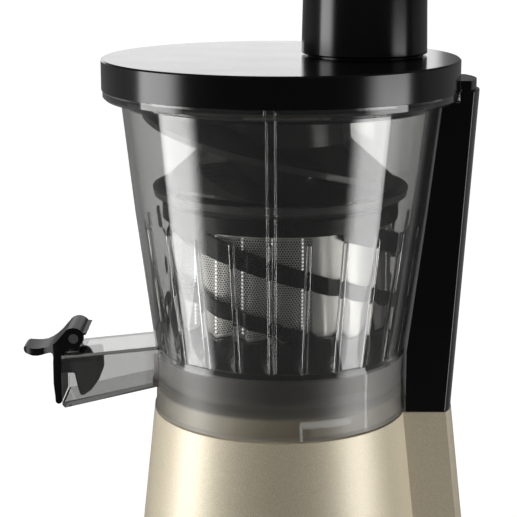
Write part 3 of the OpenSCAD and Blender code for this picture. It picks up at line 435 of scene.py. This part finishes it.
for name, node in cadNodes.items():
    node.data.materials.clear()
    node.data.materials.append(finishes[finishOf[name]])
print("finishes:", len(finishes))


# small rounds on the outer mouldings' sharp edges, in metres
edgeRounds = {"lid_cover": 0.0006, "feed_chute": 0.0005, "column_cover": 0.0006, "body_shell": 0.0012,
              "food_pusher": 0.0006, "control_knob": 0.0005, "spout_cap": 0.0004}
edgeShape = {"segments": 2, "sharperThan": 40.0}
# facets are joined, then shaded smooth where they meet below the crease angle
facets = {"nodes": ("auger_screw", *edgeRounds), "weld": 0.00002, "crease": 38.0}


def makeSmoothing():
    tree = bpy.data.node_groups.new("smoothFacets", "GeometryNodeTree")
    for way in ("INPUT", "OUTPUT"):
        tree.interface.new_socket("Geometry", in_out=way, socket_type="NodeSocketGeometry")

    def add(kind, sockets=None, **settings):
        made = tree.nodes.new(kind)
        for key, value in settings.items():
            setattr(made, key, value)
        for key, value in (sockets or {}).items():
            if hasattr(value, "is_output"):
                tree.links.new(value, made.inputs[key])
            else:
                made.inputs[key].default_value = value
        return made.outputs[0] if made.outputs else made

    whole = add("NodeGroupInput")
    welded = add("GeometryNodeMergeByDistance", {"Geometry": whole, "Distance": facets["weld"]})
    plain = add("GeometryNodeRemoveAttribute", {"Geometry": welded, "Name": "custom_normal"})
    smooth = add("GeometryNodeSetShadeSmooth", {"Geometry": plain, "Shade Smooth": True}, domain="FACE")
    turn = add("GeometryNodeInputMeshEdgeAngle")
    gentle = add("FunctionNodeCompare", {0: turn, 1: math.radians(facets["crease"])}, operation="LESS_THAN")
    creased = add("GeometryNodeSetShadeSmooth", {"Geometry": smooth, "Shade Smooth": gentle}, domain="EDGE")
    add("NodeGroupOutput", {0: creased})
    return tree


smoothTree = makeSmoothing()
for name in facets["nodes"]:
    cadNodes[name].modifiers.new("smoothFacets", "NODES").node_group = smoothTree
print("facets smoothed:", len(facets["nodes"]))

for name, width in edgeRounds.items():
    rounding = cadNodes[name].modifiers.new("edgeRound", "BEVEL")
    rounding.width = width
    rounding.segments = edgeShape["segments"]
    rounding.limit_method = "ANGLE"
    rounding.angle_limit = math.radians(edgeShape["sharperThan"])
    rounding.harden_normals = True
print("edges rounded:", len(edgeRounds))


def makePanel(name, corners):  # a flat four-cornered piece of the studio
    mesh = bpy.data.meshes.new(name)
    mesh.from_pydata(corners, [], [(0, 1, 2, 3)])
    panel = bpy.data.objects.new(name, mesh)
    bpy.context.scene.collection.objects.link(panel)
    return panel


def straightSight(paint):  # 1 where the view comes straight from the camera, also through clear walls
    def path(output):
        return paint.node("LightPath", None, None, output)
    through = path("Is Transmission Ray") * (path("Diffuse Depth") < 0.5) * (path("Glossy Depth") < 0.5)
    return path("Is Camera Ray") + through


# what the shiny pieces see behind them
backdropLook = {"away": 2.6, "half": 3.0, "tall": 1.5, "level": 0.16, "cloud": 500.0, "uneven": 0.1}
# pale and glowing to the camera; darker to the pieces, which mirror and are lit by it
floorLook = {"half": 12.0, "pale": grey(0.22), "nearGlow": 0.62, "farGlow": 0.98, "glowFrom": 150.0, "glowTo": 420.0,
             "dark": grey(0.13), "light": grey(0.16), "cloud": 300.0, "beyondFrom": 120.0, "beyondTo": 700.0}


def makeFloor():
    values = floorLook
    half = values["half"]
    floor = makePanel("floor", [(-half, -half, 0), (half, -half, 0), (half, half, 0), (-half, half, 0)])
    paint = Finish("floor")
    spot = paint.spot()
    x, y = paint.xyz(spot)[:2]
    cloud = paint.noise(spot, values["cloud"])
    beyond = paint.ease(y, values["beyondFrom"], values["beyondTo"])
    plain = paint.addShader(paint.matt(paint.blendColour(cloud, values["dark"], values["light"])),
                            paint.glow(paint.blendColour(beyond, grey(0.0), grey(backdropLook["level"]))))
    away = paint.ease((x * x + y * y) ** 0.5, values["glowFrom"], values["glowTo"],
                      values["nearGlow"], values["farGlow"])
    pale = paint.addShader(paint.matt(values["pale"]), paint.glow(paint.blendColour(away, grey(0.0), grey(1.0))))
    floor.data.materials.append(paint.surface(paint.blendShader(straightSight(paint), plain, pale)))


def makeBackdrop():
    values = backdropLook
    away, half, tall, level = values["away"], values["half"], values["tall"], values["level"]
    wall = makePanel("backdrop", [(-half, away, 0), (half, away, 0), (half, away, tall), (-half, away, tall)])
    wall.visible_camera = False
    wall.visible_transmission = False
    paint = Finish("backdrop")
    cloud = paint.noise(paint.spot(), values["cloud"])
    glow = paint.blendColour(cloud, grey(level * (1 - values["uneven"])), grey(level * (1 + values["uneven"])))
    wall.data.materials.append(paint.surface(paint.glow(glow)))


skyLook = {"fill": 0.3, "mirror": 0.085}  # brightness for matt pieces and in mirrors; white behind the object


def makeSky():
    world = bpy.data.worlds.new("studio")
    bpy.context.scene.world = world
    sky = Finish("sky", world)
    fill, mirror = skyLook["fill"], skyLook["mirror"]
    dim = fill + (mirror - fill) * sky.node("LightPath", None, None, "Is Glossy Ray")
    level = dim + straightSight(sky) * (1.0 - dim)
    sky.surface(sky.node("Background", None, {"Color": grey(1.0), "Strength": level}))


# tall lights at both sides, in metres; near is towards the camera, and each fades at its edges and with height
sideStand = {"away": 0.36, "low": 0.008, "top": 0.72}
sideLights = {"leftLight": {"side": -1, "near": -0.24, "far": 0.004, "nearEdge": 0.10, "farEdge": 0.02,
                            "fadeFrom": 0.34, "fadeTo": 0.46, "fadeLevel": 0.5, "radiance": 6.4},
              "rightLight": {"side": 1, "near": -0.33, "far": -0.07, "nearEdge": 0.13, "farEdge": 0.012,
                             "fadeFrom": 0.29, "fadeTo": 0.37, "fadeLevel": 0.06, "radiance": 5.5}}


def makeSideLight(name, values):
    x, low, high = values["side"] * sideStand["away"], sideStand["low"], sideStand["top"]
    near, far = values["near"], values["far"]
    light = makePanel(name, [(x, near, low), (x, far, low), (x, far, high), (x, near, high)])
    light.visible_camera = False
    paint = Finish(name)
    y, z = paint.xyz(paint.spot())[1:]
    level = paint.ease(y, near * millimetres, (near + values["nearEdge"]) * millimetres)
    level = level * paint.ease(y, far * millimetres, (far - values["farEdge"]) * millimetres)
    fadeFrom, fadeTo = values["fadeFrom"] * millimetres, values["fadeTo"] * millimetres
    level = level * paint.ease(z, fadeFrom, fadeTo, 1.0, values["fadeLevel"])
    glow = paint.blendColour(level, grey(0.0), grey(1.0))
    light.data.materials.append(paint.surface(paint.glow(glow, values["radiance"])))


backLight = {"place": (-0.328, 1.5, 0.52), "wide": 1.096, "tall": 0.36, "radiance": 1.38}


def makeBackLight():  # faces the object from behind, level
    values = backLight
    data = bpy.data.lights.new("backLight", "AREA")
    data.shape = "RECTANGLE"
    data.size = values["wide"]
    data.size_y = values["tall"]
    data.energy = values["radiance"] * math.pi * values["wide"] * values["tall"]
    light = bpy.data.objects.new("backLight", data)
    light.location = values["place"]
    light.rotation_mode = "QUATERNION"
    light.rotation_quaternion = Vector((0, -1, 0)).to_track_quat("-Z", "Y")
    light.visible_camera = False
    light.visible_transmission = False
    bpy.context.scene.collection.objects.link(light)


makeFloor()
makeBackdrop()
makeSky()
for name, values in sideLights.items():
    makeSideLight(name, values)
makeBackLight()
print("studio made")

# place in metres, turns in degrees; the focal length counts pixels of a frame that is pixelsWide across
viewpoint = {"place": (0, -0.6838, 0.41902), "down": 12.983, "left": 0.809, "sensor": 36.0,
             "focalPixels": 1568.6, "pixelsWide": 517, "clipStart": 0.01}


def makeCamera():
    data = bpy.data.cameras.new("camera")
    data.sensor_width = viewpoint["sensor"]
    data.lens = viewpoint["focalPixels"] * viewpoint["sensor"] / viewpoint["pixelsWide"]
    data.clip_start = viewpoint["clipStart"]
    camera = bpy.data.objects.new("camera", data)
    down, left = math.radians(viewpoint["down"]), math.radians(viewpoint["left"])
    forward = Vector((-math.sin(left) * math.cos(down), math.cos(left) * math.cos(down), -math.sin(down)))
    camera.location = viewpoint["place"]
    camera.rotation_mode = "QUATERNION"
    camera.rotation_quaternion = forward.to_track_quat("-Z", "Y")
    bpy.context.scene.collection.objects.link(camera)
    bpy.context.scene.camera = camera


makeCamera()
bpy.context.scene.view_settings.view_transform = "Standard"
print("camera made")
